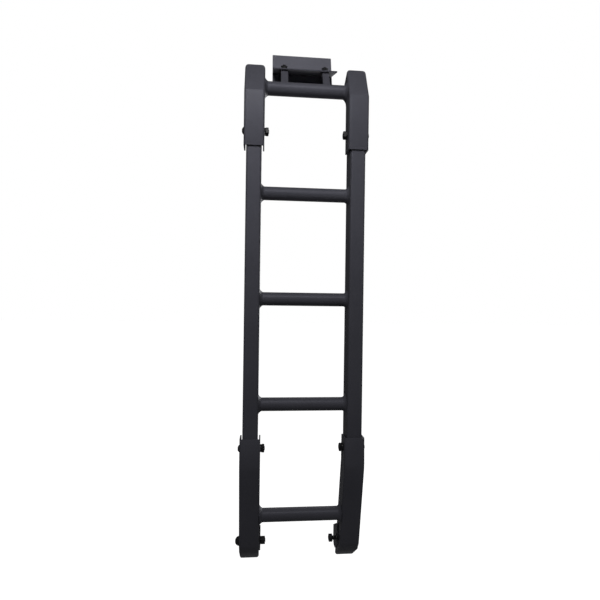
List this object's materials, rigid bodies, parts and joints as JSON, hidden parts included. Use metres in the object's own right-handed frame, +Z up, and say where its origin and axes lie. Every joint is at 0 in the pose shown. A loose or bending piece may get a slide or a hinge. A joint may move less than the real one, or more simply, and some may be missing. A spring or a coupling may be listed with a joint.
{
  "type": "vehicle rear ladder",
  "caption": "Rear ladder for a sport utility vehicle: two box rails in bent sleeves, round welded rungs, a top bracket and lower hook brackets.",
  "frame": {"origin": "centre of the rear face of the top bracket's back plate, where it meets the vehicle", "axes": "+X to the right seen from behind the vehicle, +Y forwards to the vehicle, +Z up"},
  "size_m": [0.2916, 0.169, 1.2434],
  "materials": {
    "ladder_coat": "satin dark grey powder coat on steel",
    "bolt_plating": "black plated steel fasteners"
  },
  "bodies": {
    "root": {"left_rail": "ladder_coat", "right_rail": "ladder_coat", "top_rung": "ladder_coat", "second_rung": "ladder_coat", "middle_rung": "ladder_coat", "fourth_rung": "ladder_coat", "bottom_rung": "ladder_coat", "upper_left_sleeve": "ladder_coat", "upper_right_sleeve": "ladder_coat", "lower_left_sleeve": "ladder_coat", "lower_right_sleeve": "ladder_coat", "left_hook_bracket": "ladder_coat", "right_hook_bracket": "ladder_coat", "upper_left_bolt": "bolt_plating", "upper_right_bolt": "bolt_plating", "lower_left_bolt": "bolt_plating", "lower_right_bolt": "bolt_plating", "upper_left_washer": "bolt_plating", "upper_right_washer": "bolt_plating", "lower_left_washer": "bolt_plating", "lower_right_washer": "bolt_plating", "upper_left_nut": "bolt_plating", "upper_right_nut": "bolt_plating", "lower_left_nut": "bolt_plating", "lower_right_nut": "bolt_plating", "left_foot_bolt": "bolt_plating", "right_foot_bolt": "bolt_plating", "left_foot_washer": "bolt_plating", "right_foot_washer": "bolt_plating", "left_foot_nut": "bolt_plating", "right_foot_nut": "bolt_plating", "bracket_shelf": "ladder_coat", "bracket_back_plate": "ladder_coat", "left_bracket_lug": "ladder_coat", "right_bracket_lug": "ladder_coat", "left_lug_bolt": "bolt_plating", "right_lug_bolt": "bolt_plating", "left_lug_washer": "bolt_plating", "right_lug_washer": "bolt_plating", "left_lug_nut": "bolt_plating", "right_lug_nut": "bolt_plating"}
  },
  "joints": []
}
